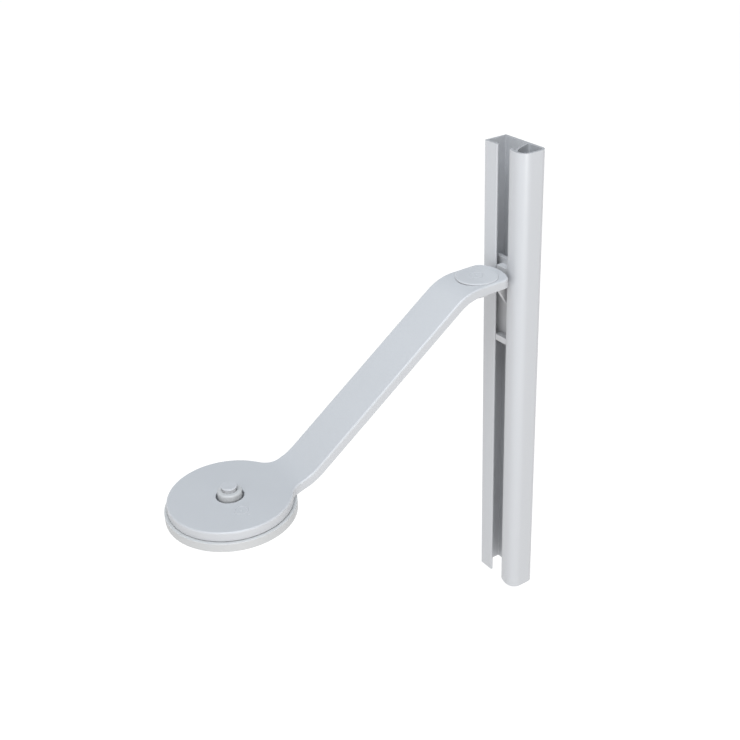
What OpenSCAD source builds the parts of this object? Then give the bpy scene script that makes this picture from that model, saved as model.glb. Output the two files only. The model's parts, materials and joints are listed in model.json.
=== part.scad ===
// Cranked pivot arm carried by a slider in a vertical sash track.
// X runs across the track's slotted face, Y into the track, Z up along it.
// Origin: on the track's back face, on the slot's centre line, halfway up.
// Units are millimetres.

/* [Track] */
// Length of the sash track
track_len = 250; // [200:10:400]
// Depth of the track, from its slotted face to its back face
track_depth = 13; // [12.8:0.1:13.6]
// From the slot's centre line to the square side of the track
track_left = 13.5; // [13.3:0.1:14.5]
// From the slot's centre line to the rounded side of the track
track_right = 16; // [15.8:0.1:16.6]
// Wall thickness of the track
track_wall = 1.3; // [1.1:0.1:1.4]
// Width of the slot
slot_w = 9; // [8.6:0.1:9.2]
// How far the rounded side stands proud of the slotted face
bulge = 1.4; // [1:0.1:1.6]
// Radius of the rounded front corner
corner_r = 5.2; // [4.5:0.1:5.4]
// Distance between the two track screws
track_screw_pitch = 200; // [140:10:200]
// Radius of the track's screw holes
track_screw_r = 2.1; // [1.8:0.1:2.2]

/* [Slider] */
// Length of the slider along the track
slider_len = 44; // [43:0.5:54]
// Height of the slider's lower end above the middle of the track
slider_z = 23; // [21:0.5:25]
// Running gap between the slider and the track's walls
slide_gap = 0.4; // [0.3:0.05:0.5]

/* [Arm] */
// Width of the arm
arm_w = 23.8; // [22:0.2:25]
// Thickness of the arm
arm_t = 4.6; // [4.5:0.1:5.2]
// Height of the arm's upper face at the slider, above the middle of the track
arm_top_z = 63.6; // [63:0.1:64]
// How far the pivot disc lies below the slider end
joggle = 67.4; // [60:0.2:74]
// Angle of the sloping middle
slope_angle = 35.8; // [33:0.2:40]
// From the track's slotted face to the slider end's pivot
end_pivot_gap = 15.2; // [15:0.1:16.6]
// Between the two pivots, measured level
pivot_span = 141.4; // [138:0.2:160]
// Radius of the pivot disc
disc_r = 28.6; // [28:0.1:31]
// Radius of the cap over the slider end's pivot
cap_r = 10.6; // [9.6:0.1:10.8]

/* [Pivot] */
// Radius of the pivot stud's shank
stud_r = 4; // [3.5:0.1:4.2]
// Radius of the pivot stud's head
stud_head_r = 5.6; // [5:0.1:5.8]
// Radial running clearance of both pivots
pivot_clearance = 0.05; // [0.03:0.01:0.08]
// Radius of the slider end's pin
end_pin_r = 3; // [2.5:0.1:3.2]

/* [Base] */
// Radius of the base disc
base_r = 30.1; // [29:0.1:31.5]
// Thickness of the base disc
base_t = 4.4; // [3.6:0.1:5]
// Visible gap between the two discs
disc_gap = 0.25; // [0.2:0.05:0.5]
// Pitch circle diameter of the base screws
base_pcd = 44; // [44:0.5:46]
// Radius of the base screw holes
base_screw_r = 2.1; // [1.8:0.1:2.2]

/* [Hidden] */

$fn = 96;
eps = 0.01;

// Track
front_y = -track_depth;
bulge_dx = track_right - corner_r - slot_w / 2;
bulge_r = (bulge_dx * bulge_dx + bulge * bulge) / (2 * bulge);
bulge_c = [track_right - corner_r, front_y - bulge + bulge_r];
back_r = 3.2;
web_front = [9, front_y - bulge / 2];
web_back = [3.4, -track_wall / 2];
web_sag = 0.5;
web_t = 1.2;
track_screw_x = -3;

// Slider
slider_top = slider_z + slider_len;
plate_y = front_y + 4.3;
plate_t = 2.5;
plate_back_y = plate_y + plate_t;
plate_left = -9;
block_step = -8.8;
plate_right = 3.9;
block_h = 12;
block_drop = 3;
key_w = slot_w - 0.7;
key_h = 3.2;
key_y = front_y + 0.5;
runner_left = -track_left + track_wall + slide_gap;
runner_front = front_y + track_wall + slide_gap;
runner_back = -track_wall - slide_gap;
tongue_t = 3;
thrust_t = 0.5;
face_gap = 0.1;
tongue_top = arm_top_z - arm_t - thrust_t - 2 * face_gap;
tongue_bottom = tongue_top - tongue_t;
boss_r = 6.5;
gusset_t = 2.2;
gusset_drop = 13;
gusset_reach = 3.6;
root_rise = 0.6;
spring_strip_w = 7;
spring_strip_t = 0.4;
pad_w = 9;
pad_h = 14;
pad_t = 1.7;
brake_x = -4;

// Arm
end_y = front_y - end_pivot_gap;
disc_y = end_y - pivot_span;
end_gap = 1.1;
end_arc_r = 18.6;
end_swing_r = end_pivot_gap - 0.3;
disc_top = arm_top_z - joggle;
fillet_r = 9;
lower_bend_r = 24;
upper_bend_r = 26;
crank_mid_y = front_y - 76.3;
crank_run = joggle / tan(slope_angle);
recess_r = stud_head_r + 0.8;
recess_depth = 2.4;
end_recess_r = 6.2;
end_recess_depth = 1.9;
end_head_r = 5.6;
end_head_t = 1.3;
cap_t = 0.8;
cap_bevel_w = 1.6;
cap_bevel_t = 0.45;
cap_skirt_r = 8.4;
cap_skirt_depth = 1.2;
cap_skirt_t = 0.9;

// Pivot stack
arm_disc_bottom = disc_top - arm_t;
base_top = arm_disc_bottom - disc_gap;
base_bottom = base_top - base_t;
friction_r = 17;
friction_t = 1;
friction_recess = friction_t + face_gap - disc_gap + face_gap;
spring_t = 0.7;
flange_bottom = disc_top - recess_depth + spring_t + 0.1;
flange_top = disc_top + 2.7;
crown_top = disc_top + 5.1;
crown_r = 3.7;
crown_neck_r = 3;
plunger_r = 1.9;
stud_recess_r = 6;
stud_recess_depth = 1.4;
stud_tail_r = 4.8;

// Points on an arc, from angle a0 to a1 in n steps
function arc(c, r, a0, a1, n) =
    [for (i = [0:n]) c + r * [cos(a0 + (a1 - a0) * i / n), sin(a0 + (a1 - a0) * i / n)]];

// A face of the curved inner web, offset sideways from its middle
function web_face(side) =
    [for (i = [0:8]) let (t = i / 8)
        web_front + (web_back - web_front) * t + [side * web_t / 2 - web_sag * 4 * t * (1 - t), 0]];

// Where the bulging front flange lies at x, on a circle of radius r
function flange_y(x, r) = bulge_c[1] - sqrt(r * r - pow(x - bulge_c[0], 2));

module track_outline() {
    polygon(concat(
        [[-track_left, 0], [-track_left, front_y], [slot_w / 2, front_y]],
        arc(bulge_c, bulge_r, -90 - asin(bulge_dx / bulge_r), -90, 8),
        arc([track_right - corner_r, front_y - bulge + corner_r], corner_r, -90, 0, 12),
        arc([track_right - back_r, -back_r], back_r, 0, 90, 8)));
}

// The slotted chamber, open to the front
module slider_chamber() {
    inner_r = bulge_r - track_wall;
    web_left = web_face(-1);
    first = flange_y(slot_w / 2, inner_r);
    last_x = 7.6;
    difference() {
        polygon([
            [-track_left + track_wall, -track_wall],
            [-track_left + track_wall, front_y + track_wall],
            [slot_w / 2, front_y + track_wall],
            [slot_w / 2, first],
            [(slot_w / 2 + last_x) / 2, flange_y((slot_w / 2 + last_x) / 2, inner_r)],
            [last_x, flange_y(last_x, inner_r)],
            [12, front_y + track_wall],
            [12, -track_wall]]);
        polygon(concat(web_left, [[20, 0], [20, front_y - 4], web_left[0] + [0, -3]]));
    }
    translate([-slot_w / 2, front_y - 1])
        square([slot_w, track_wall + 2]);
}

// The closed chamber behind the rounded side
module side_chamber() {
    web_right = web_face(1);
    inner_corner = corner_r - track_wall;
    difference() {
        polygon(concat(
            [[4, -track_wall], [4, front_y]],
            [[8.4, flange_y(8.4, bulge_r - track_wall)]],
            arc([track_right - corner_r, front_y - bulge + corner_r], inner_corner, -90, 0, 10),
            arc([track_right - back_r, -back_r], back_r - track_wall, 0, 90, 8)));
        polygon(concat(web_right, [[-5, 0], [-5, front_y - 4], web_right[0] + [0, -3]]));
    }
}

module track() color("whitesmoke") {
    difference() {
        translate([0, 0, -track_len / 2])
            linear_extrude(track_len)
                difference() {
                    track_outline();
                    slider_chamber();
                    side_chamber();
                }
        for (side = [-1, 1])
            translate([track_screw_x, 1, side * track_screw_pitch / 2])
                rotate([90, 0, 0])
                    cylinder(r = track_screw_r, h = track_wall + 2);
    }
}

// Section of the slider's two end blocks, which run behind both flanges
module runner_section() {
    polygon([
        [runner_left, runner_back],
        [runner_left, runner_front],
        [block_step, runner_front],
        [block_step, plate_y],
        [slot_w / 2 + 0.4, plate_y],
        [slot_w / 2 + 0.4, runner_front],
        [6.6, runner_front],
        [4.2, plate_back_y],
        [2.6, runner_back]]);
}

module tongue_outline() {
    difference() {
        union() {
            translate([-key_w / 2, end_y])
                square([key_w, plate_y - end_y + eps]);
            translate([0, end_y])
                circle(r = boss_r);
        }
        translate([0, end_y])
            circle(r = end_pin_r);
    }
}

module slider_carriage() color("gainsboro") {
    translate([plate_left, plate_y, slider_z])
        cube([plate_right - plate_left, plate_t, slider_len]);
    for (end = [[slider_z, block_h], [slider_top - block_h, block_h - block_drop]])
        translate([0, 0, end[0]])
            linear_extrude(end[1])
                runner_section();
    // Key that runs in the slot
    translate([-key_w / 2, key_y, slider_z])
        cube([key_w, plate_y - key_y + eps, key_h]);
    // Root of the tongue, which fills the slot behind the arm's end
    translate([-key_w / 2, key_y, tongue_bottom])
        cube([key_w, plate_y - key_y + eps, arm_top_z + root_rise - tongue_bottom]);
    // Tongue that carries the arm, and the web below it
    translate([0, 0, tongue_bottom])
        linear_extrude(tongue_t)
            tongue_outline();
    translate([gusset_t / 2, 0, 0])
        rotate([90, 0, -90])
            linear_extrude(gusset_t)
                polygon([
                    [-plate_y - eps, tongue_bottom + eps],
                    [-front_y + gusset_reach, tongue_bottom + eps],
                    [-plate_y - eps, tongue_bottom - gusset_drop]]);
}

// Leaf spring behind the slider's plate, between its end blocks
module brake_spring() color("silver") {
    half = slider_len / 2 - block_h - 0.3;
    rise = runner_back - pad_t - spring_strip_t - plate_back_y - 0.1;
    r = (half * half + rise * rise) / (2 * rise);
    a = asin(half / r);
    translate([brake_x + spring_strip_w / 2, plate_back_y + rise - r, slider_z + slider_len / 2])
        rotate([0, -90, 0])
            linear_extrude(spring_strip_w)
                polygon(concat(
                    arc([0, 0], r + spring_strip_t, 90 - a, 90 + a, 20),
                    arc([0, 0], r, 90 + a, 90 - a, 20)));
}

module brake_pad() color("dimgray") {
    translate([brake_x - pad_w / 2, runner_back - pad_t, slider_z + (slider_len - pad_h) / 2])
        cube([pad_w, pad_t, pad_h]);
}

// Riveted pin of the slider end: head, shank and closed end
module end_pin() color("silver") {
    head_bottom = arm_top_z - end_recess_depth + face_gap;
    closed_end_t = 1;
    washer_t = 0.7;
    translate([0, end_y, 0])
        rotate_extrude()
            polygon([
                [0, tongue_bottom - washer_t - closed_end_t],
                [end_pin_r + 0.6, tongue_bottom - washer_t - closed_end_t],
                [end_pin_r + 1, tongue_bottom - washer_t],
                [end_pin_r, tongue_bottom - washer_t],
                [end_pin_r, head_bottom],
                [end_head_r, head_bottom],
                [end_head_r, head_bottom + end_head_t],
                [0, head_bottom + end_head_t]]);
}

module end_pin_washer() color("silver")
    translate([0, end_y, tongue_bottom - 0.7])
        difference() {
            cylinder(r = 5, h = 0.7);
            translate([0, 0, -1])
                cylinder(r = end_pin_r, h = 3);
        }

module thrust_washer() color("white")
    translate([0, end_y, tongue_top])
        difference() {
            cylinder(r = boss_r, h = thrust_t);
            translate([0, 0, -1])
                cylinder(r = end_pin_r, h = 3);
        }

// Outline of the arm seen from above
module arm_plan() {
    fillet_x = arm_w / 2 + fillet_r;
    fillet_dy = sqrt(pow(disc_r + fillet_r, 2) - fillet_x * fillet_x);
    translate([0, disc_y]) {
        circle(r = disc_r);
        difference() {
            polygon([[0, 0], [fillet_x, fillet_dy], [-fillet_x, fillet_dy]]);
            for (side = [-1, 1])
                translate([side * fillet_x, fillet_dy])
                    circle(r = fillet_r);
        }
    }
    translate([-arm_w / 2, disc_y])
        square([arm_w, pivot_span]);
    intersection() {
        translate([0, front_y - end_gap - end_arc_r])
            circle(r = end_arc_r);
        translate([0, end_y])
            circle(r = end_swing_r);
        translate([-arm_w / 2, end_y - eps])
            square([arm_w, end_swing_r + 1]);
    }
}

// Side view of the arm as [distance from the slotted face, height]:
// two level ends and a sloping middle, joined by round bends
module arm_profile() {
    low_corner = -crank_mid_y + crank_run / 2;
    high_corner = -crank_mid_y - crank_run / 2;
    tan_low = lower_bend_r * tan(slope_angle / 2);
    tan_high = upper_bend_r * tan(slope_angle / 2);
    low_c = [low_corner + tan_low, disc_top + lower_bend_r];
    high_c = [high_corner - tan_high, arm_top_z - upper_bend_r];
    far = -disc_y + disc_r + 1;
    near = -front_y;
    polygon(concat(
        [[near, arm_top_z]],
        arc(high_c, upper_bend_r, 90, 90 - slope_angle, 10),
        arc(low_c, lower_bend_r, 270 - slope_angle, 270, 10),
        [[far, disc_top], [far, arm_disc_bottom]],
        arc(low_c, lower_bend_r + arm_t, 270, 270 - slope_angle, 10),
        arc(high_c, upper_bend_r - arm_t, 90 - slope_angle, 90, 10),
        [[near, arm_top_z - arm_t]]));
}

module arm() color("white") {
    difference() {
        intersection() {
            translate([0, 0, base_bottom])
                linear_extrude(joggle + 20)
                    arm_plan();
            translate([20, 0, 0])
                rotate([90, 0, -90])
                    translate([0, 0, -15])
                        linear_extrude(70)
                            arm_profile();
        }
        translate([0, disc_y, base_bottom - 1]) {
            cylinder(r = stud_r + pivot_clearance, h = 30);
            translate([0, 0, disc_top - recess_depth - base_bottom + 1])
                cylinder(r = recess_r, h = 10);
        }
        translate([0, end_y, arm_top_z - arm_t - 1]) {
            cylinder(r = end_pin_r + pivot_clearance, h = 20);
            translate([0, 0, arm_t + 1 - end_recess_depth])
                cylinder(r = end_recess_r, h = 10);
        }
        // Ring groove that the cap clips into
        translate([0, end_y, arm_top_z - cap_skirt_depth])
            difference() {
                cylinder(r = cap_skirt_r, h = 10);
                translate([0, 0, -1])
                    cylinder(r = cap_skirt_r - cap_skirt_t, h = 20);
            }
    }
}

module end_cap() color("white")
    translate([0, end_y, arm_top_z]) {
        cylinder(r = cap_r, h = cap_t - cap_bevel_t);
        translate([0, 0, cap_t - cap_bevel_t])
            cylinder(r1 = cap_r, r2 = cap_r - cap_bevel_w, h = cap_bevel_t);
        translate([0, 0, -cap_skirt_depth])
            difference() {
                cylinder(r = cap_skirt_r, h = cap_skirt_depth + eps);
                translate([0, 0, -1])
                    cylinder(r = cap_skirt_r - cap_skirt_t, h = cap_skirt_depth + 1);
            }
    }

module base_disc() color("whitesmoke") {
    countersink_r = 4.1;
    countersink_h = 2;
    translate([0, disc_y, base_bottom])
        difference() {
            cylinder(r = base_r, h = base_t);
            translate([0, 0, base_t - friction_recess])
                cylinder(r = friction_r + 0.2, h = 5);
            translate([0, 0, -1])
                cylinder(r = stud_r, h = 10);
            translate([0, 0, -1])
                cylinder(r = stud_recess_r, h = 1 + stud_recess_depth);
            for (i = [0:2])
                rotate(90 + 120 * i)
                    translate([base_pcd / 2, 0, 0]) {
                        translate([0, 0, -1])
                            cylinder(r = base_screw_r, h = 10);
                        translate([0, 0, base_t - countersink_h])
                            cylinder(r1 = base_screw_r, r2 = countersink_r, h = countersink_h + eps);
                    }
        }
}

module friction_washer() color("lightgray")
    translate([0, disc_y, base_top - friction_recess])
        difference() {
            cylinder(r = friction_r, h = friction_t);
            translate([0, 0, -1])
                cylinder(r = stud_r + 0.3, h = 5);
        }

// Cone washer between the stud's head and the bottom of the arm's recess
module spring_washer() color("silver") {
    bottom = disc_top - recess_depth + 0.05;
    strip = 0.45;
    outer = recess_r - 0.4;
    inner = stud_r + 0.3;
    translate([0, disc_y, 0])
        rotate_extrude()
            polygon([
                [outer, bottom],
                [outer, bottom + strip],
                [inner, bottom + spring_t],
                [inner, bottom + spring_t - strip]]);
}

module pivot_stud() color("white")
    translate([0, disc_y, 0])
        rotate_extrude()
            polygon([
                [plunger_r, base_bottom + 0.2],
                [stud_tail_r - 0.5, base_bottom + 0.2],
                [stud_tail_r, base_bottom + stud_recess_depth],
                [stud_r, base_bottom + stud_recess_depth],
                [stud_r, flange_bottom],
                [stud_head_r, flange_bottom],
                [stud_head_r, flange_top - 0.8],
                [stud_head_r - 0.8, flange_top],
                [plunger_r, flange_top]]);

module locking_plunger() color("white")
    translate([0, disc_y, 0])
        rotate_extrude()
            polygon([
                [0, base_bottom + 0.5],
                [plunger_r, base_bottom + 0.5],
                [plunger_r, flange_top],
                [crown_neck_r, flange_top],
                [crown_neck_r, crown_top - 1],
                [crown_r, crown_top - 0.8],
                [crown_r, crown_top - 0.5],
                [crown_r - 0.5, crown_top],
                [0, crown_top]]);

track();
slider_carriage();
brake_spring();
brake_pad();
end_pin();
end_pin_washer();
thrust_washer();
arm();
end_cap();
base_disc();
friction_washer();
spring_washer();
pivot_stud();
locking_plunger();
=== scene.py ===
import json
import math

import bmesh
import bpy
from mathutils import Matrix, Vector
from mathutils.geometry import delaunay_2d_cdt


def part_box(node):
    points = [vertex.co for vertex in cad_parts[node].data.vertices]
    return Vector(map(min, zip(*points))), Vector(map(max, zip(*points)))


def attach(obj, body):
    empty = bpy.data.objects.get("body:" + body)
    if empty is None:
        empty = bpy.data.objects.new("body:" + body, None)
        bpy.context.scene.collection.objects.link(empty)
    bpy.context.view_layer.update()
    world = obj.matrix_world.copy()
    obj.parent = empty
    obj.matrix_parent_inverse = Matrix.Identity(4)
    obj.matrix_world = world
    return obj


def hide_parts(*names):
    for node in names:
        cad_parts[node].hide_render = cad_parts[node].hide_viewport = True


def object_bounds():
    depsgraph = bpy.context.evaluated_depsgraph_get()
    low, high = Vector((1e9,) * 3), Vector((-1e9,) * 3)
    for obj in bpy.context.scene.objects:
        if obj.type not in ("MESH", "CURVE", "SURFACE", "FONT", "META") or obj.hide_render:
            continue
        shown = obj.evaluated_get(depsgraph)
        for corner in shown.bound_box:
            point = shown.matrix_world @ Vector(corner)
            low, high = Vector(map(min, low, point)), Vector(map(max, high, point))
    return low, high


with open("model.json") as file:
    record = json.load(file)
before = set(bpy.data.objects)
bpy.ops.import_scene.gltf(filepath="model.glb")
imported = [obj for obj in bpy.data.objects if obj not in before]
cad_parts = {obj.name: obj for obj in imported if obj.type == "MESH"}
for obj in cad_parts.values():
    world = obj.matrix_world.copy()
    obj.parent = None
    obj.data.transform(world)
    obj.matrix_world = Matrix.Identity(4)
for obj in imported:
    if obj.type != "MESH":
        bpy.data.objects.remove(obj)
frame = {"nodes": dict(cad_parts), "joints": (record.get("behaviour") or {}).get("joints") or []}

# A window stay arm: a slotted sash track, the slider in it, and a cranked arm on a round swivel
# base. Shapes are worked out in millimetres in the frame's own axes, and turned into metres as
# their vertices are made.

MM = 0.001
cad_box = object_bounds()


def box_mm(node):
    """The corners of a CAD node's box, in millimetres."""
    low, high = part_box(node)
    return low / MM, high / MM


def joint_mm(name):
    """A joint's place, in millimetres."""
    joint = next(j for j in frame["joints"] if j["name"] == name)
    return Vector(joint["pos_m"]) / MM


track_low, track_high = box_mm("track")
arm_low, arm_high = box_mm("arm")
cap_low, cap_high = box_mm("end_cap")
base_low, base_high = box_mm("base_disc")
stud_low, stud_high = box_mm("pivot_stud")
plunger_low, plunger_high = box_mm("locking_plunger")
end_pivot = joint_mm("arm_swivel")
disc_pivot = joint_mm("base_swivel")
cad_nodes = frame["nodes"]

# Arm
ARM_T = 4.6
ARM_W = 23.8
DISC_R = arm_high.x
ARM_TOP = arm_high.z
DISC_TOP = arm_low.z + ARM_T
SLOPE = math.radians(35.8)
LOW_BEND_R = 24
HIGH_BEND_R = 26
CRANK_MID = 89.3
NECK_FILLET_R = 9
END_ARC_R = 18.6
END_CORNER_R = 4.5
ARM_EDGES = (0.85, 0.25)
BEND_ROWS_FROM = 37.5
RECESS_R = stud_high.x + 0.8
RECESS_DEPTH = 2.4
ARM_BORE_R = 4.05

# Slider end of the arm
PIN_BORE_R = 3.05
PIN_RECESS_R = 6.2
PIN_RECESS_DEPTH = 1.9
CLIP_OUTER_R = 8.4
CLIP_INNER_R = 7.5
CLIP_DEPTH = 1.2
CAP_BEVEL_W = 1.6
CAP_BEVEL_T = 0.45

# Base, stud and plunger
BASE_EDGES = (0.3, 0.5)
STUD_SHANK_R = 4
STUD_TAIL_R = 4.8
STUD_SHOULDER_R = 0.9
PLUNGER_R = 1.9
CROWN_EDGE_R = 0.45
FRICTION_RECESS_R = 17.2
FRICTION_RECESS_DEPTH = 0.95
TAIL_RECESS_R = 6
TAIL_RECESS_DEPTH = 1.4
BASE_SCREW_CIRCLE_R = 22
SCREW_SINK_R = 4.1
SCREW_SINK_DEPTH = 2
SCREW_HOLE_R = 2.1

# Track section
FRONT_Y = -13
SLOT_HALF = 4.5
WALL = 1.3
BULGE = 1.4
CORNER_R = 5.2
BACK_CORNER_R = 3.2
INNER_CORNER_R = 0.35
WEB_T = 1.2
WEB_SAG = 0.5
WEB_FRONT_X = 9
WEB_BACK_X = 3.4
TRACK_SCREW_X = -3
TRACK_SCREW_Z = 100

# Segments round a hole and round a moulding mark
HOLE_STEPS = 72
MARK_STEPS = 48


# ---------- outlines ----------

def arc(cx, cy, r, start, stop, steps):
    """Points on an arc, both ends included; angles in degrees."""
    angles = [math.radians(start + (stop - start) * i / steps) for i in range(steps + 1)]
    return [(cx + r * math.cos(a), cy + r * math.sin(a)) for a in angles]


def filleted(corners, steps=4):
    """A closed outline of (x, y, radius) corners, each turned into an arc of its radius."""
    points = []
    for i, (x, y, radius) in enumerate(corners):
        here = Vector((x, y))
        if not radius:
            points.append((x, y))
            continue
        before = (Vector(corners[i - 1][:2]) - here).normalized()
        after = (Vector(corners[(i + 1) % len(corners)][:2]) - here).normalized()
        half = before.angle(after) / 2
        middle = (before + after).normalized()
        centre = here + middle * (radius / math.sin(half))
        start = here + before * (radius / math.tan(half)) - centre
        turn = start.angle_signed(here + after * (radius / math.tan(half)) - centre)
        for k in range(steps + 1):
            spoke = start.copy()
            spoke.rotate(Matrix.Rotation(-turn * k / steps, 2))
            points.append(tuple(centre + spoke))
    return points


def inside(point, outline):
    """Whether a point lies inside a closed outline."""
    x, y = point
    found = False
    for (x0, y0), (x1, y1) in zip(outline, outline[1:] + outline[:1]):
        if (y0 > y) != (y1 > y) and x < x0 + (x1 - x0) * (y - y0) / (y1 - y0):
            found = not found
    return found


# ---------- meshes ----------

def finished(name, bm, body, material, replaces=(), sharp=35):
    """Turns bm into a smooth-shaded piece that rides on a body and stands for CAD nodes."""
    bmesh.ops.remove_doubles(bm, verts=bm.verts, dist=1e-6)
    bmesh.ops.recalc_face_normals(bm, faces=bm.faces)
    mesh = bpy.data.meshes.new(name)
    bm.to_mesh(mesh)
    bm.free()
    for polygon in mesh.polygons:
        polygon.use_smooth = True
    mesh.set_sharp_from_angle(angle=math.radians(sharp))
    piece = bpy.data.objects.new(name, mesh)
    bpy.context.scene.collection.objects.link(piece)
    mesh.materials.append(material)
    normals = piece.modifiers.new("even_normals", "WEIGHTED_NORMAL")
    normals.keep_sharp = True
    normals.weight = 100
    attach(piece, body)
    if replaces:
        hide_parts(*replaces)
    return piece


def bridge(bm, a, b):
    """Quads between two closed rings of vertices."""
    for i in range(len(a)):
        j = (i + 1) % len(a)
        bm.faces.new((a[i], a[j], b[j], b[i]))


def fill(bm, rings, rows=()):
    """Fills the flat outline in the first ring around the holes in the others.

    A ring is (vertices, points), and rows are pairs of outline indices joined across.
    """
    vertices = [v for ring, _ in rings for v in ring]
    points = [Vector(p) for _, outline in rings for p in outline]
    edges = list(rows)
    start = 0
    for ring, _ in rings:
        count = len(ring)
        edges += [(start + i, start + (i + 1) % count) for i in range(count)]
        start += count
    out_points, _, faces, sources, _, _ = delaunay_2d_cdt(points, edges, [], 1, 1e-5)
    for face in faces:
        middle = sum((out_points[i] for i in face), Vector((0, 0))) / len(face)
        if any(inside(middle, outline) for _, outline in rings[1:]):
            continue
        bm.faces.new([vertices[sources[i][0]] for i in face])


def circle_ring(bm, place, centre, r, depth, steps):
    """A ring of vertices on a circle, with its outline."""
    outline = arc(centre[0], centre[1], r, 0, 360, steps)[:-1]
    return [bm.verts.new(place(x, y, depth)) for x, y in outline], outline


def rounded_edge(radius):
    """(inset, depth) stations round an edge, from the flat face down to the side wall."""
    quarter = [math.radians(18 * k) for k in range(6)]
    return [(radius * (1 - math.sin(a)), radius * (1 - math.cos(a))) for a in quarter]


def plate(outline, place, thickness, edges, holes=(), top_marks=(), under_marks=(), rows=()):
    """A plate whose upper and lower edges are rounded to the two radii in edges.

    outline(inset) gives its closed outline, and place(x, y, depth) a point that far below its
    upper face. A hole is (centre, [(r, depth), ...]) from the upper face to the lower. A mark is
    the same from its own face, closed at its last radius.
    """
    bm = bmesh.new()
    upper = rounded_edge(edges[0])
    lower = [(inset, thickness - depth) for inset, depth in reversed(rounded_edge(edges[1]))]
    rings = []
    for inset, depth in upper + lower:
        points = outline(inset)
        rings.append(([bm.verts.new(place(x, y, depth)) for x, y in points], points))
    for a, b in zip(rings, rings[1:]):
        bridge(bm, a[0], b[0])
    top = [rings[0]]
    under = [rings[-1]]
    for centre, profile in holes:
        hole = [circle_ring(bm, place, centre, r, depth, HOLE_STEPS) for r, depth in profile]
        for a, b in zip(hole, hole[1:]):
            bridge(bm, a[0], b[0])
        top.append(hole[0])
        under.append(hole[-1])
    for side, marks in ((top, top_marks), (under, under_marks)):
        for centre, profile in marks:
            if side is under:
                profile = [(r, thickness - depth) for r, depth in profile]
            mark = [circle_ring(bm, place, centre, r, depth, MARK_STEPS) for r, depth in profile]
            for a, b in zip(mark, mark[1:]):
                bridge(bm, a[0], b[0])
            bm.faces.new(mark[-1][0])
            side.append(mark[0])
    fill(bm, top, rows)
    fill(bm, under, rows)
    return bm


def lathe(profile, centre, steps=96):
    """A solid of revolution about Z at centre, from a closed or axis-to-axis profile of (r, z)."""
    bm = bmesh.new()
    rings = []
    for r, z in profile:
        if r < 1e-6:
            rings.append([bm.verts.new(Vector((centre.x, centre.y, z)) * MM)])
            continue
        spokes = arc(centre.x, centre.y, r, 0, 360, steps)[:-1]
        rings.append([bm.verts.new(Vector((x, y, z)) * MM) for x, y in spokes])
    closed = len(rings[0]) > 1
    pairs = list(zip(rings, rings[1:])) + ([(rings[-1], rings[0])] if closed else [])
    for a, b in pairs:
        if len(a) == 1:
            for i in range(steps):
                bm.faces.new((a[0], b[i], b[(i + 1) % steps]))
        elif len(b) == 1:
            for i in range(steps):
                bm.faces.new((a[i], b[0], a[(i + 1) % steps]))
        else:
            bridge(bm, a, b)
    return bm


# ---------- materials ----------

def node(tree, kind, **settings):
    """A new shader node with the given properties."""
    made = tree.nodes.new(kind)
    for key, value in settings.items():
        setattr(made, key, value)
    return made


def moulded(name, colour, roughness, grain, stretch=(1, 1, 1), bump=0.05, painted_edge_sheen=0.05, metallic=0.0):
    """A satin moulded or drawn surface.

    It has slow colour variation, a fine grain in roughness and bump, and paler convex edges, a
    painted highlight that stands in for edge sheen; painted_edge_sheen sets how much paler they
    are painted.
    stretch scales the grain's coordinates along each axis.
    """
    material = bpy.data.materials.new(name)
    material.use_nodes = True
    tree = material.node_tree
    shader = tree.nodes["Principled BSDF"]
    shader.inputs["Metallic"].default_value = metallic
    shader.inputs["IOR"].default_value = 1.5
    link = tree.links.new
    where = node(tree, "ShaderNodeTexCoord")
    scaled = node(tree, "ShaderNodeMapping")
    scaled.inputs["Scale"].default_value = stretch
    link(where.outputs["Object"], scaled.inputs["Vector"])

    cloud = node(tree, "ShaderNodeTexNoise")
    cloud.inputs["Scale"].default_value = 45
    cloud.inputs["Detail"].default_value = 3
    link(scaled.outputs["Vector"], cloud.inputs["Vector"])
    tint = node(tree, "ShaderNodeMix", data_type="RGBA")
    tint.inputs["A"].default_value = (*[c * 0.972 for c in colour], 1)
    tint.inputs["B"].default_value = (*[min(1, c * 1.022) for c in colour], 1)
    link(cloud.outputs["Fac"], tint.inputs["Factor"])

    # Painted highlight: convex edges, picked out by pointiness, are painted paler to stand in for
    # edge sheen.
    geometry = node(tree, "ShaderNodeNewGeometry")
    edge = node(tree, "ShaderNodeMapRange")
    edge.inputs["From Min"].default_value = 0.52
    edge.inputs["From Max"].default_value = 0.62
    edge.inputs["To Max"].default_value = painted_edge_sheen
    link(geometry.outputs["Pointiness"], edge.inputs["Value"])
    edge_highlight_mix = node(tree, "ShaderNodeMix", data_type="RGBA")
    edge_highlight_mix.inputs["B"].default_value = (*[min(1, c * 1.25) for c in colour], 1)
    link(edge.outputs["Result"], edge_highlight_mix.inputs["Factor"])
    link(tint.outputs["Result"], edge_highlight_mix.inputs["A"])
    link(edge_highlight_mix.outputs["Result"], shader.inputs["Base Color"])

    fine = node(tree, "ShaderNodeTexNoise")
    fine.inputs["Scale"].default_value = grain
    fine.inputs["Detail"].default_value = 4
    link(scaled.outputs["Vector"], fine.inputs["Vector"])
    sheen = node(tree, "ShaderNodeMapRange")
    sheen.inputs["From Min"].default_value = 0.3
    sheen.inputs["From Max"].default_value = 0.7
    sheen.inputs["To Min"].default_value = roughness - 0.05
    sheen.inputs["To Max"].default_value = roughness + 0.06
    link(fine.outputs["Fac"], sheen.inputs["Value"])
    link(sheen.outputs["Result"], shader.inputs["Roughness"])
    relief = node(tree, "ShaderNodeBump")
    relief.inputs["Strength"].default_value = bump
    relief.inputs["Distance"].default_value = 0.0002
    link(fine.outputs["Fac"], relief.inputs["Height"])
    link(relief.outputs["Normal"], shader.inputs["Normal"])
    return material


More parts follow.
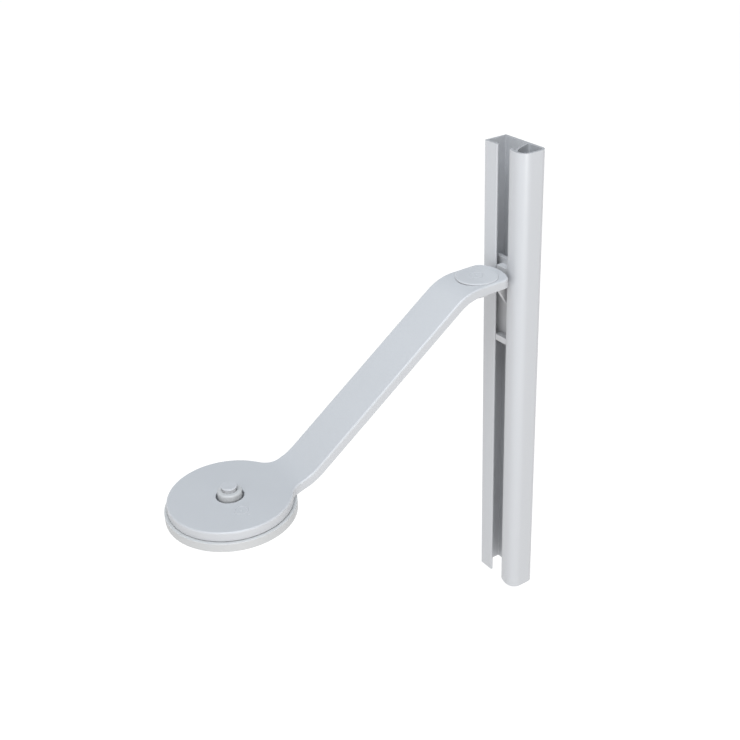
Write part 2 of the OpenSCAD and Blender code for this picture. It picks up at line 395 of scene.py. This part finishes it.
WHITE = (0.50, 0.505, 0.52)
arm_plastic = moulded("arm_plastic", WHITE, 0.36, 900)
track_plastic = moulded("track_plastic", WHITE, 0.33, 1300, stretch=(1, 1, 0.02), bump=0.06)
# Painted shade: the track's sawn end faces are coloured darker than its sides so that their rims
# read dark. Their rough, scored grain is real.
sawn_end_painted_shade = moulded("sawn_end_painted_shade", (0.36, 0.36, 0.37), 0.65, 1500, stretch=(0.15, 2, 1),
                       bump=0.5)
base_plastic = moulded("base_plastic", (0.49, 0.49, 0.49), 0.40, 1000)
slider_plastic = moulded("slider_plastic", (0.50, 0.50, 0.51), 0.42, 1100, bump=0.08)
washer_plastic = moulded("washer_plastic", (0.62, 0.61, 0.58), 0.45, 1500)
# Its convex edges are painted paler still, a painted highlight for the metal's edge sheen.
zinc_steel = moulded("zinc_steel", (0.58, 0.59, 0.61), 0.30, 1800, bump=0.08, painted_edge_sheen=0.2,
                     metallic=1.0)
pad_rubber = moulded("pad_rubber", (0.03, 0.03, 0.033), 0.75, 1600, bump=0.3)


# ---------- arm ----------

half_run = (ARM_TOP - DISC_TOP) / math.tan(SLOPE) / 2
high_bend_start = CRANK_MID - half_run - HIGH_BEND_R * math.tan(SLOPE / 2)
high_bend_end = high_bend_start + HIGH_BEND_R * math.sin(SLOPE)
low_bend_end = CRANK_MID + half_run + LOW_BEND_R * math.tan(SLOPE / 2)
low_bend_start = low_bend_end - LOW_BEND_R * math.sin(SLOPE)


def on_arm(x, y, depth):
    """The point at plan position x, y that lies depth below the arm's bent upper surface."""
    out = -y
    if out <= high_bend_start:
        z, tilt = ARM_TOP, 0
    elif out < high_bend_end:
        tilt = math.asin((out - high_bend_start) / HIGH_BEND_R)
        z = ARM_TOP - HIGH_BEND_R * (1 - math.cos(tilt))
    elif out <= low_bend_start:
        tilt = SLOPE
        z = ARM_TOP - HIGH_BEND_R * (1 - math.cos(SLOPE)) - (out - high_bend_end) * math.tan(SLOPE)
    elif out < low_bend_end:
        tilt = math.asin((low_bend_end - out) / LOW_BEND_R)
        z = DISC_TOP + LOW_BEND_R * (1 - math.cos(tilt))
    else:
        z, tilt = DISC_TOP, 0
    return Vector((x, -(out - depth * math.sin(tilt)), z - depth * math.cos(tilt))) * MM


def arm_outline(inset):
    """Plan of the arm, from the middle of its slider end round the disc and back."""
    tip_y = arm_high.y
    arc_c = tip_y - END_ARC_R
    corner_x = ARM_W / 2 - END_CORNER_R
    corner_y = arc_c + math.sqrt((END_ARC_R - END_CORNER_R) ** 2 - corner_x ** 2)
    corner_turn = math.degrees(math.atan2(corner_y - arc_c, corner_x))
    neck_x = ARM_W / 2 + NECK_FILLET_R
    neck_dy = math.sqrt((DISC_R + NECK_FILLET_R) ** 2 - neck_x ** 2)
    neck_y = disc_pivot.y + neck_dy
    neck_turn = math.degrees(math.atan2(neck_dy, neck_x))
    side_x = ARM_W / 2 - inset
    bends = [(corner_y - 2, -high_bend_start, 2), (-high_bend_start, -high_bend_end, 10),
             (-high_bend_end, -low_bend_start, 6), (-low_bend_start, neck_y, 9)]
    side = [(side_x, a + (b - a) * i / n) for a, b, n in bends for i in range(n)]
    right = arc(0, arc_c, END_ARC_R - inset, 90, corner_turn, 10)
    right += arc(corner_x, corner_y, END_CORNER_R - inset, corner_turn, 0, 5)[1:]
    right += side
    right += arc(neck_x, neck_y, NECK_FILLET_R + inset, 180, 180 + neck_turn, 14)
    right += arc(0, disc_pivot.y, DISC_R - inset, neck_turn, -90, 60)[1:]
    return right + [(-x, y) for x, y in reversed(right[1:-1])]


def bend_rows():
    """Pairs of outline indices that a straight line joins across each bend, clear of the cap."""
    points = arm_outline(0)
    count = len(points)
    pairs = []
    for i, (x, y) in enumerate(points[:count // 2]):
        in_high = BEND_ROWS_FROM <= -y <= high_bend_end + 0.01
        in_low = low_bend_start - 0.01 <= -y <= low_bend_end + 0.01
        if i and (in_high or in_low):
            pairs.append((i, count - i))
    return pairs


def ring_mark(r, height):
    """A raised plain ring round a small raised gate mark, as a mould leaves."""
    ring = [(r, 0), (r - 0.12, -height), (r - 0.55, -height), (r - 0.7, 0.02)]
    gate = [(0.75, 0.02), (0.6, -height * 0.6), (0.2, -height * 0.6)]
    return ring + gate


def ejector_mark(r):
    """A shallow round dent with a flat bottom."""
    return [(r, 0), (r - 0.1, 0.12), (0.3, 0.12)]


def make_arm():
    """The arm: one bent plate with both pivots' holes, the cap's groove and its moulding marks."""
    flare = ((0.6, 0), (0.35, 0.05), (0.15, 0.18), (0.03, 0.4))
    mouth = [(RECESS_R + wide, deep) for wide, deep in flare]
    recess = [(RECESS_R, 0.7), (RECESS_R, RECESS_DEPTH - 0.2), (RECESS_R - 0.2, RECESS_DEPTH)]
    bore = [(ARM_BORE_R + 0.2, RECESS_DEPTH), (ARM_BORE_R, RECESS_DEPTH + 0.2),
            (ARM_BORE_R, ARM_T - 0.2), (ARM_BORE_R + 0.2, ARM_T)]
    stud_hole = mouth + recess + bore
    clip_groove = [(CLIP_OUTER_R, 0), (CLIP_OUTER_R, CLIP_DEPTH),
                   (CLIP_INNER_R, CLIP_DEPTH), (CLIP_INNER_R, 0)]
    pin_hole = [(PIN_RECESS_R, 0), (PIN_RECESS_R, PIN_RECESS_DEPTH),
                (PIN_BORE_R, PIN_RECESS_DEPTH), (PIN_BORE_R, ARM_T)]
    end_hole = clip_groove + pin_hole
    pivots = [((0, disc_pivot.y), stud_hole), ((0, end_pivot.y), end_hole)]
    top_marks = [((13.5, disc_pivot.y - 1.5), ring_mark(3.3, 0.22)),
                 ((18.9, disc_pivot.y - 0.4), ejector_mark(0.7))]
    disc_dents = ((15, 14), (-15, 14), (0, -23))
    under_marks = [((x, disc_pivot.y + y), ejector_mark(2.2)) for x, y in disc_dents]
    under_marks += [((x, -CRANK_MID), ejector_mark(2)) for x in (-6, 6)]
    marks = (top_marks, under_marks)
    bm = plate(arm_outline, on_arm, ARM_T, ARM_EDGES, pivots, *marks, bend_rows())
    return finished("arm_body", bm, "arm", arm_plastic, ["arm"])


def make_cap():
    """The cap: a disc with a wide rounded bevel and a shallow moulded ring, over its clip ring."""
    r = cap_high.x
    top = cap_high.z
    low = cap_low.z
    seat = ARM_TOP
    bevel = [(r - CAP_BEVEL_W * (1 - math.sin(a)), top - CAP_BEVEL_T * (1 - math.cos(a)))
             for a in (math.radians(15 * k) for k in range(7))]
    gate = [(0, top - 0.2), (0.7, top - 0.2), (0.85, top - 0.06)]
    ring = [(2.9, top - 0.02), (3, top - 0.16), (3.4, top - 0.16), (3.5, top)]
    rim = [(r, seat + 0.1), (r - 0.1, seat)]
    clip = [(CLIP_OUTER_R, seat), (CLIP_OUTER_R, low + 0.2), (CLIP_OUTER_R - 0.2, low),
            (CLIP_INNER_R + 0.2, low), (CLIP_INNER_R, low + 0.2), (CLIP_INNER_R, seat)]
    bm = lathe(gate + ring + bevel + rim + clip + [(0, seat)], end_pivot)
    return finished("cap", bm, "arm", arm_plastic, ["end_cap"], sharp=30)


# ---------- base ----------

def make_base():
    """The base disc, with the washer's and the stud's recesses and three countersunk holes."""
    r = base_high.x
    top = base_high.z
    t = top - base_low.z

    def place(x, y, depth):
        return Vector((x, y, top - depth)) * MM

    def outline(inset):
        return arc(0, disc_pivot.y, r - inset, 0, 360, 128)[:-1]

    def around(radius, start):
        turns = [math.radians(start + 120 * k) for k in range(3)]
        return [(radius * math.cos(a), disc_pivot.y + radius * math.sin(a)) for a in turns]

    tail_depth = t - TAIL_RECESS_DEPTH
    centre_hole = [(FRICTION_RECESS_R, 0), (FRICTION_RECESS_R, FRICTION_RECESS_DEPTH),
                   (STUD_SHANK_R, FRICTION_RECESS_DEPTH), (STUD_SHANK_R, tail_depth),
                   (TAIL_RECESS_R, tail_depth), (TAIL_RECESS_R, t - 0.2), (TAIL_RECESS_R + 0.2, t)]
    screw_hole = [(SCREW_SINK_R, 0), (SCREW_HOLE_R, SCREW_SINK_DEPTH),
                  (SCREW_HOLE_R, t - 0.15), (SCREW_HOLE_R + 0.15, t)]
    holes = [((0, disc_pivot.y), centre_hole)]
    holes += [(centre, screw_hole) for centre in around(BASE_SCREW_CIRCLE_R, 90)]
    marks = [(centre, ejector_mark(2)) for centre in around(18, 30)]
    bm = plate(outline, place, t, BASE_EDGES, holes, (), marks)
    return finished("base_plate", bm, "base", base_plastic, ["base_disc"])


def make_stud():
    """The button's collar, with a rounded shoulder, its shank and its spread lower end."""
    top = stud_high.z
    low = stud_low.z
    head_r = stud_high.x
    flange_low = DISC_TOP - RECESS_DEPTH + 0.8
    round_r = STUD_SHOULDER_R
    shoulder = [(head_r - round_r * (1 - math.cos(a)), top - round_r * (1 - math.sin(a)))
                for a in (math.radians(15 * k) for k in range(7))]
    tail_top = low + 1.2
    tail = [(PLUNGER_R, low), (STUD_TAIL_R - 0.5, low),
            (STUD_TAIL_R, tail_top), (STUD_SHANK_R, tail_top)]
    flange = [(STUD_SHANK_R, flange_low), (head_r - 0.15, flange_low), (head_r, flange_low + 0.15)]
    bm = lathe(tail + flange + shoulder + [(PLUNGER_R, top)], disc_pivot)
    return finished("stud_collar", bm, "base", base_plastic, ["pivot_stud"])


def make_plunger():
    """The button's raised middle: a neck under a thin round head with a shallow dish."""
    top = plunger_high.z
    low = plunger_low.z
    seat = stud_high.z
    head_r = plunger_high.x
    neck_r = head_r - 0.6
    round_r = CROWN_EDGE_R
    rim = [(head_r - round_r * (1 - math.cos(a)), top - round_r * (1 - math.sin(a)))
           for a in (math.radians(18 * k) for k in range(6))]
    stem = [(0, low), (PLUNGER_R - 0.2, low), (PLUNGER_R, low + 0.2), (PLUNGER_R, seat)]
    neck = [(neck_r, seat), (neck_r, top - 1), (head_r - 0.1, top - 0.85), (head_r, top - 0.7)]
    dish = [(2.2, top - 0.06), (0, top - 0.1)]
    bm = lathe(stem + neck + rim + dish, disc_pivot)
    return finished("plunger_button", bm, "base", arm_plastic, ["locking_plunger"])


# ---------- slider ----------

def softened(node_name, piece_name, body, material, width, turn=40):
    """A CAD node's shape with its sharp edges rounded."""
    bm = bmesh.new()
    bm.from_mesh(cad_nodes[node_name].data)
    bmesh.ops.remove_doubles(bm, verts=bm.verts, dist=1e-6)
    bmesh.ops.dissolve_limit(bm, angle_limit=math.radians(1), verts=bm.verts, edges=bm.edges)
    paired = [e for e in bm.edges if len(e.link_faces) == 2]
    sharp = [e for e in paired if e.calc_face_angle(0) > math.radians(turn)]
    bmesh.ops.bevel(bm, geom=sharp, offset=width * MM, segments=2, profile=0.5, affect="EDGES",
                    clamp_overlap=True)
    return finished(piece_name, bm, body, material, [node_name])


# ---------- track ----------

def web_face(side):
    """A face of the curved inner web, from front to back."""
    front = Vector((WEB_FRONT_X, FRONT_Y - BULGE / 2))
    back = Vector((WEB_BACK_X, -WALL / 2))
    points = []
    for i in range(9):
        t = i / 8
        x, y = front + (back - front) * t
        points.append((x + side * WEB_T / 2 - 4 * WEB_SAG * t * (1 - t), y))
    return points


def make_track():
    """The track: its section, with an open and a closed chamber, run between two sawn ends."""
    left = track_low.x
    right = track_high.x
    bulge_x = right - CORNER_R
    reach = bulge_x - SLOT_HALF
    bulge_r = (reach ** 2 + BULGE ** 2) / (2 * BULGE)
    bulge_cy = FRONT_Y - BULGE + bulge_r

    def flange(x, r):
        return (x, bulge_cy - math.sqrt(r * r - (x - bulge_x) ** 2))

    inner_r = bulge_r - WALL
    half_turn = math.degrees(math.asin(reach / bulge_r))
    bulge = arc(bulge_x, bulge_cy, bulge_r, -90 - half_turn, -90, 10)
    corner = arc(bulge_x, FRONT_Y - BULGE + CORNER_R, CORNER_R, -90, 0, 14)
    web_left = [p for p in web_face(-1) if -WALL > p[1] > FRONT_Y + 0.9]
    web_right = [p for p in web_face(1) if -WALL > p[1] > FRONT_Y + 0.4]
    soft = INNER_CORNER_R
    outer = [(left, 0, 0.6), (left, FRONT_Y, 0.5), (-SLOT_HALF, FRONT_Y, 0.6),
             (-SLOT_HALF, FRONT_Y + WALL, 0.5), (left + WALL, FRONT_Y + WALL, soft),
             (left + WALL, -WALL, soft), (web_left[-1][0] - 0.25, -WALL, soft)]
    outer += [(x, y, 0) for x, y in reversed(web_left[1:-1])]
    outer += [(*flange(7.7, inner_r), 0), (*flange(6.2, inner_r), 0)]
    outer += [(*flange(SLOT_HALF, inner_r), soft)]
    outer += [(*bulge[0], soft)]
    outer += [(x, y, 0) for x, y in bulge[2:] + corner[1:]]
    outer += [(right, 0, BACK_CORNER_R)]
    section = filleted(outer)
    chamber = [(x, y, 0) for x, y in web_right[1:-1]]
    chamber += [(web_right[-1][0] + 0.3, -WALL, 1.1), (right - WALL, -WALL, BACK_CORNER_R - WALL)]
    inner_corner = arc(bulge_x, FRONT_Y - BULGE + CORNER_R, CORNER_R - WALL, 0, -90, 12)
    chamber += [(x, y, 0) for x, y in inner_corner]
    chamber += [(*flange(10, inner_r), 0.3)]
    hollow = filleted(chamber)

    bm = bmesh.new()
    ends = []
    for z in (track_low.z, track_high.z):
        rings = []
        for ring in (section, hollow):
            rings.append(([bm.verts.new(Vector((x, y, z)) * MM) for x, y in ring], ring))
        fill(bm, rings)
        ends.append(rings)
    # The end faces take the second, darker material, which is painted shade on the sawn ends.
    for face in bm.faces:
        face.material_index = 1
    for low, high in zip(*ends):
        bridge(bm, low[0], high[0])
    piece = finished("track_profile", bm, "track", track_plastic, ["track"],
                     sharp=30)
    piece.data.materials.append(sawn_end_painted_shade)
    return piece


def cut_screw_holes(piece):
    """Drills the track's two screw holes through its back wall."""
    bm = bmesh.new()
    for side in (-1, 1):
        middle = Vector((TRACK_SCREW_X, -WALL / 2, side * TRACK_SCREW_Z)) * MM
        turn = Matrix.Translation(middle) @ Matrix.Rotation(math.pi / 2, 4, "X")
        bmesh.ops.create_cone(bm, cap_ends=True, segments=48, radius1=SCREW_HOLE_R * MM,
                              radius2=SCREW_HOLE_R * MM, depth=(WALL + 1) * MM, matrix=turn)
    mesh = bpy.data.meshes.new("drill")
    bm.to_mesh(mesh)
    bm.free()
    drill = bpy.data.objects.new("drill", mesh)
    bpy.context.scene.collection.objects.link(drill)
    cut = piece.modifiers.new("cut", "BOOLEAN")
    cut.operation = "DIFFERENCE"
    cut.solver = "EXACT"
    cut.object = drill
    piece.modifiers.move(len(piece.modifiers) - 1, 0)
    piece.modifiers["even_normals"].show_viewport = False
    bpy.context.view_layer.update()
    depsgraph = bpy.context.evaluated_depsgraph_get()
    made = bpy.data.meshes.new_from_object(piece.evaluated_get(depsgraph))
    piece.modifiers.remove(cut)
    piece.modifiers["even_normals"].show_viewport = True
    made.name = piece.name
    piece.data = made
    bpy.data.objects.remove(drill)


make_arm()
make_cap()
make_base()
make_stud()
make_plunger()
track = make_track()
cut_screw_holes(track)
softened("slider_carriage", "slider_body", "slider", slider_plastic, 0.3)
softened("end_pin", "end_rivet", "slider", zinc_steel, 0.25)
softened("end_pin_washer", "rivet_washer", "slider", zinc_steel, 0.15)

carried_over = {
    "brake_spring": zinc_steel,
    "brake_pad": pad_rubber,
    "thrust_washer": washer_plastic,
    "friction_washer": washer_plastic,
    "spring_washer": zinc_steel,
}
for name, material in carried_over.items():
    cad_nodes[name].data.materials.clear()
    cad_nodes[name].data.materials.append(material)


# ---------- studio ----------

def make_floor():
    """A pale floor below the arm's lowest reach, turned up at its rim as a studio sheet is."""
    half_width = 6
    rim_height = 2.2
    drop = 0.045
    bm = bmesh.new()
    bmesh.ops.create_grid(bm, x_segments=1, y_segments=1, size=half_width)
    rim = bmesh.ops.extrude_edge_only(bm, edges=list(bm.edges))
    for vertex in rim["geom"]:
        if isinstance(vertex, bmesh.types.BMVert):
            vertex.co.z += rim_height
    mesh = bpy.data.meshes.new("floor")
    bm.to_mesh(mesh)
    bm.free()
    floor = bpy.data.objects.new("floor", mesh)
    floor.location.z = cad_box[0].z - drop
    bpy.context.scene.collection.objects.link(floor)
    material = bpy.data.materials.new("floor")
    material.use_nodes = True
    shader = material.node_tree.nodes["Principled BSDF"]
    shader.inputs["Base Color"].default_value = (0.12, 0.12, 0.12, 1)
    shader.inputs["Roughness"].default_value = 0.9
    shader.inputs["Emission Color"].default_value = (1, 1, 1, 1)
    shader.inputs["Emission Strength"].default_value = 0.96
    mesh.materials.append(material)


def area_light(name, place, aim, size, power, colour):
    """A round soft light at place, turned towards aim."""
    data = bpy.data.lights.new(name, "AREA")
    data.shape = "DISK"
    data.size = size
    data.energy = power
    data.color = colour
    light = bpy.data.objects.new(name, data)
    light.location = place
    light.rotation_mode = "QUATERNION"
    light.rotation_quaternion = (Vector(aim) - Vector(place)).to_track_quat("-Z", "Y")
    bpy.context.scene.collection.objects.link(light)


def make_studio():
    make_floor()
    world = bpy.data.worlds.new("studio")
    world.use_nodes = True
    background = world.node_tree.nodes["Background"]
    background.inputs["Color"].default_value = (0.90, 0.94, 1.0, 1)
    background.inputs["Strength"].default_value = 0.13
    bpy.context.scene.world = world
    middle = (0, -0.09, 0)
    area_light("key", (0.47, -0.91, 0.74), middle, 0.8, 1.8, (0.98, 0.99, 1.0))
    area_light("side", (0.74, -0.27, -0.08), middle, 0.4, 2.1, (1.0, 1.0, 0.99))
    area_light("top", (0.22, -0.30, 0.98), middle, 0.7, 11.2, (0.89, 0.95, 1.0))


def make_camera():
    """The camera: yaw turns it about Z from looking along +Y, pitch tips it down, and roll
    turns it about its own line of sight."""
    yaw = math.radians(-57.458)
    pitch = math.radians(28.802)
    roll = math.radians(2.681)
    place = (0.3883, -0.3394, 0.2871)
    forward = Vector((math.sin(yaw) * math.cos(pitch),
                      math.cos(yaw) * math.cos(pitch),
                      -math.sin(pitch)))
    level = Vector((math.cos(yaw), -math.sin(yaw), 0))
    down = forward.cross(level)
    right = level * math.cos(roll) + down * math.sin(roll)
    down = down * math.cos(roll) - level * math.sin(roll)
    data = bpy.data.cameras.new("camera")
    data.sensor_width = 36
    data.lens = 54.66
    data.clip_start = 0.01
    camera = bpy.data.objects.new("camera", data)
    turn = Matrix((right, -down, -forward)).transposed()
    camera.matrix_world = Matrix.Translation(place) @ turn.to_4x4()
    bpy.context.scene.collection.objects.link(camera)
    bpy.context.scene.camera = camera


make_studio()
make_camera()
bpy.context.scene.view_settings.view_transform = "Standard"
bpy.context.view_layer.update()
